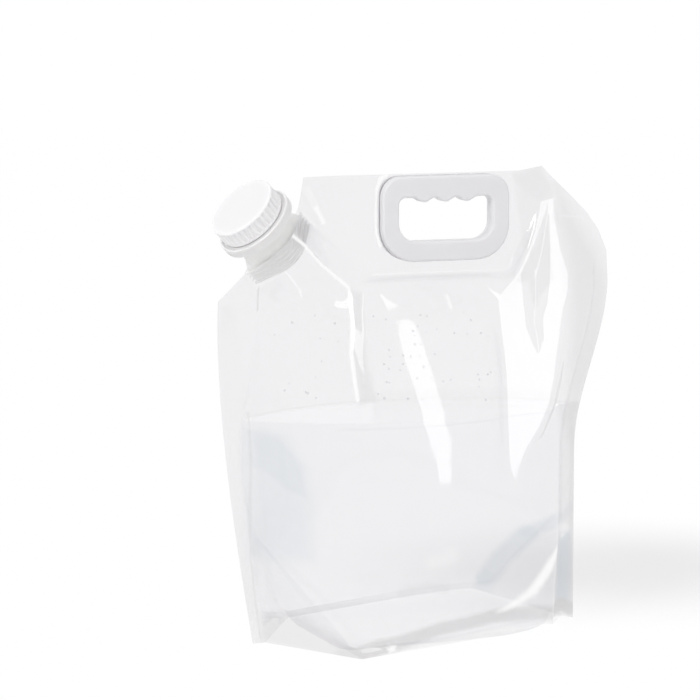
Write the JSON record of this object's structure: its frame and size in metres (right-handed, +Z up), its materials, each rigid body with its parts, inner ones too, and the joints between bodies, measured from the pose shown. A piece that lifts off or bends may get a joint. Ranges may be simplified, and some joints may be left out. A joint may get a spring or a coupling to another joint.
{
  "type": "collapsible water carrier",
  "caption": "Stand-up film pouch for carrying water, with a corner spout, a fluted screw cap and a clip-on grip handle; folds flat when empty.",
  "frame": {"origin": "on the floor under the middle of the pouch's foot, in the plane of the side seals", "axes": "+Z up, X along the width with the spout at -X, -Y towards the front wall"},
  "size_m": [0.3047, 0.1576, 0.333],
  "materials": {
    "film": "clear glossy film",
    "gusset_film": "clear glossy film",
    "cap_plastic": "satin moulded plastic",
    "spout_plastic": "satin moulded plastic",
    "seal_foam": "matt foam",
    "handle_plastic": "satin moulded plastic"
  },
  "bodies": {
    "carrier": {"spout_fitment": "spout_plastic", "handle_front_half": "handle_plastic", "handle_rear_half": "handle_plastic", "bottom_gusset_film": "gusset_film"},
    "front_wall": {"front_wall_film": "film"},
    "rear_wall": {"rear_wall_film": "film"},
    "sealing_disc": {"cap_sealing_disc": "seal_foam"},
    "cap": {"screw_cap": "cap_plastic"},
    "collar": {"tamper_collar": "cap_plastic"}
  },
  "joints": [
    {"name": "front_wall_in", "type": "slide", "parent": "carrier", "child": "front_wall", "axis": [0, 1, 0], "range_m": [0, 0.072], "deforming": ["front_wall_film", "bottom_gusset_film"]},
    {"name": "rear_wall_in", "type": "slide", "parent": "carrier", "child": "rear_wall", "axis": [0, -1, 0], "range_m": [0, 0.072], "deforming": ["rear_wall_film"]},
    {"name": "cap_lift", "type": "slide", "parent": "carrier", "child": "sealing_disc", "axis": [-0.6903, -0.2164, 0.6903], "range_m": [0, 0.008]},
    {"name": "cap_turn", "type": "hinge", "parent": "sealing_disc", "child": "cap", "pos_m": [-0.12874, -0.01116, 0.30314], "axis": [-0.6903, -0.2164, 0.6903], "range_deg": [0, 360]},
    {"name": "collar_turn", "type": "hinge", "parent": "carrier", "child": "collar", "pos_m": [-0.12253, -0.00922, 0.29693], "axis": [-0.6903, -0.2164, 0.6903], "continuous": true}
  ],
  "couplings": [
    {"joint": "rear_wall_in", "follows": "front_wall_in", "ratio": 1},
    {"joint": "cap_lift", "follows": "cap_turn", "m_per_rad": 0.0012732}
  ]
}
